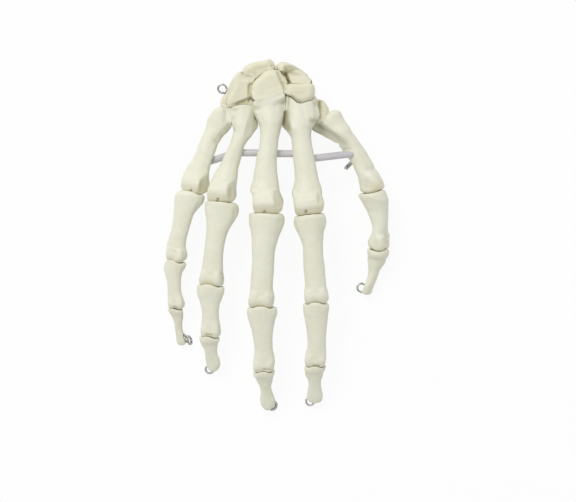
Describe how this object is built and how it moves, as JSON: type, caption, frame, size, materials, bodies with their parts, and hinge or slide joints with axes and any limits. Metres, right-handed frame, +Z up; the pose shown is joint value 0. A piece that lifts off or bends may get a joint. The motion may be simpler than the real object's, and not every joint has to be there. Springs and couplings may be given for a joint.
{
  "type": "hand skeleton model",
  "caption": "Life-size model of the skeleton of a right hand, palm down: plastic bones strung on steel wire, with finger joints that bend and sleeves that space the palm bones.",
  "frame": {"origin": "on the table, under the middle of the hand's outline", "axes": "+X to the thumb side, +Y from the fingers to the wrist, +Z up, out of the back of the hand"},
  "size_m": [0.1168, 0.1796, 0.0345],
  "materials": {
    "bone_plastic": "ivory cast plastic, satin, slightly mottled",
    "steel_wire": "bright drawn wire",
    "sleeve_plastic": "cloudy grey extruded tube"
  },
  "bodies": {
    "palm": {"scaphoid": "bone_plastic", "lunate": "bone_plastic", "triquetrum": "bone_plastic", "pisiform": "bone_plastic", "trapezium": "bone_plastic", "trapezoid": "bone_plastic", "capitate": "bone_plastic", "hamate": "bone_plastic", "thumb_metacarpal": "bone_plastic", "index_metacarpal": "bone_plastic", "middle_metacarpal": "bone_plastic", "ring_metacarpal": "bone_plastic", "little_metacarpal": "bone_plastic", "thumb_wire_metacarpal": "steel_wire", "index_wire_metacarpal": "steel_wire", "middle_wire_metacarpal": "steel_wire", "ring_wire_metacarpal": "steel_wire", "little_wire_metacarpal": "steel_wire", "sleeve_little_ring": "sleeve_plastic", "sleeve_ring_middle": "sleeve_plastic", "sleeve_middle_index": "sleeve_plastic", "sleeve_index_thumb": "sleeve_plastic", "cross_wire": "steel_wire", "wrist_wire": "steel_wire", "proximal_row_wire": "steel_wire", "pisiform_pin": "steel_wire"},
    "thumb_proximal": {"thumb_proximal_phalanx": "bone_plastic", "thumb_wire_proximal": "steel_wire"},
    "thumb_distal": {"thumb_distal_phalanx": "bone_plastic", "thumb_wire_tip": "steel_wire"},
    "index_proximal": {"index_proximal_phalanx": "bone_plastic", "index_wire_proximal": "steel_wire"},
    "index_middle": {"index_middle_phalanx": "bone_plastic", "index_wire_middle": "steel_wire"},
    "index_distal": {"index_distal_phalanx": "bone_plastic", "index_wire_tip": "steel_wire"},
    "middle_proximal": {"middle_proximal_phalanx": "bone_plastic", "middle_wire_proximal": "steel_wire"},
    "middle_middle": {"middle_middle_phalanx": "bone_plastic", "middle_wire_middle": "steel_wire"},
    "middle_distal": {"middle_distal_phalanx": "bone_plastic", "middle_wire_tip": "steel_wire"},
    "ring_proximal": {"ring_proximal_phalanx": "bone_plastic", "ring_wire_proximal": "steel_wire"},
    "ring_middle": {"ring_middle_phalanx": "bone_plastic", "ring_wire_middle": "steel_wire"},
    "ring_distal": {"ring_distal_phalanx": "bone_plastic", "ring_wire_tip": "steel_wire"},
    "little_proximal": {"little_proximal_phalanx": "bone_plastic", "little_wire_proximal": "steel_wire"},
    "little_middle": {"little_middle_phalanx": "bone_plastic", "little_wire_middle": "steel_wire"},
    "little_distal": {"little_distal_phalanx": "bone_plastic", "little_wire_tip": "steel_wire"}
  },
  "joints": [
    {"name": "thumb_mcp", "type": "hinge", "parent": "palm", "child": "thumb_proximal", "pos_m": [0.04774, 0.02786, 0.0125], "axis": [0.4034, 0.2404, -0.8829], "range_deg": [-24, 18]},
    {"name": "thumb_ip", "type": "hinge", "parent": "thumb_proximal", "child": "thumb_distal", "pos_m": [0.05263, -0.00315, 0.01002], "axis": [0.422, 0.1382, -0.896], "range_deg": [-20, 32]},
    {"name": "index_mcp", "type": "hinge", "parent": "palm", "child": "index_proximal", "pos_m": [0.01504, 0.01706, 0.026], "axis": [0.9932, 0.0782, 0.0865], "range_deg": [-24, 60]},
    {"name": "index_pip", "type": "hinge", "parent": "index_proximal", "child": "index_middle", "pos_m": [0.01938, -0.03059, 0.02217], "axis": [0.9927, 0.0834, 0.087], "range_deg": [-12, 64]},
    {"name": "index_dip", "type": "hinge", "parent": "index_middle", "child": "index_distal", "pos_m": [0.01947, -0.06381, 0.01493], "axis": [0.9977, -0.012, 0.0665], "range_deg": [-16, 46]},
    {"name": "middle_mcp", "type": "hinge", "parent": "palm", "child": "middle_proximal", "pos_m": [-0.00606, 0.01856, 0.027], "axis": [0.9877, -0.0166, 0.1552], "range_deg": [-24, 56]},
    {"name": "middle_pip", "type": "hinge", "parent": "middle_proximal", "child": "middle_middle", "pos_m": [-0.008, -0.03232, 0.02418], "axis": [0.987, -0.0462, 0.1537], "range_deg": [-12, 62]},
    {"name": "middle_dip", "type": "hinge", "parent": "middle_middle", "child": "middle_distal", "pos_m": [-0.00739, -0.06622, 0.01679], "axis": [0.987, -0.0172, 0.1601], "range_deg": [-16, 46]},
    {"name": "ring_mcp", "type": "hinge", "parent": "palm", "child": "ring_proximal", "pos_m": [-0.02856, 0.02346, 0.023], "axis": [0.9373, -0.2156, 0.2738], "range_deg": [-24, 40]},
    {"name": "ring_pip", "type": "hinge", "parent": "ring_proximal", "child": "ring_middle", "pos_m": [-0.03397, -0.02151, 0.01998], "axis": [0.9506, -0.1332, 0.2804], "range_deg": [-12, 60]},
    {"name": "ring_dip", "type": "hinge", "parent": "ring_middle", "child": "ring_distal", "pos_m": [-0.0352, -0.04867, 0.01469], "axis": [0.9527, -0.099, 0.2872], "range_deg": [-16, 46]},
    {"name": "little_mcp", "type": "hinge", "parent": "palm", "child": "little_proximal", "pos_m": [-0.04196, 0.02706, 0.0175], "axis": [0.8685, -0.2845, 0.4058], "range_deg": [-24, 40]},
    {"name": "little_pip", "type": "hinge", "parent": "little_proximal", "child": "little_middle", "pos_m": [-0.05277, -0.00986, 0.01442], "axis": [0.8676, -0.2879, 0.4056], "range_deg": [-12, 60]},
    {"name": "little_dip", "type": "hinge", "parent": "little_middle", "child": "little_distal", "pos_m": [-0.05355, -0.03478, 0.01149], "axis": [0.8943, -0.0799, 0.4402], "range_deg": [-16, 46]}
  ]
}
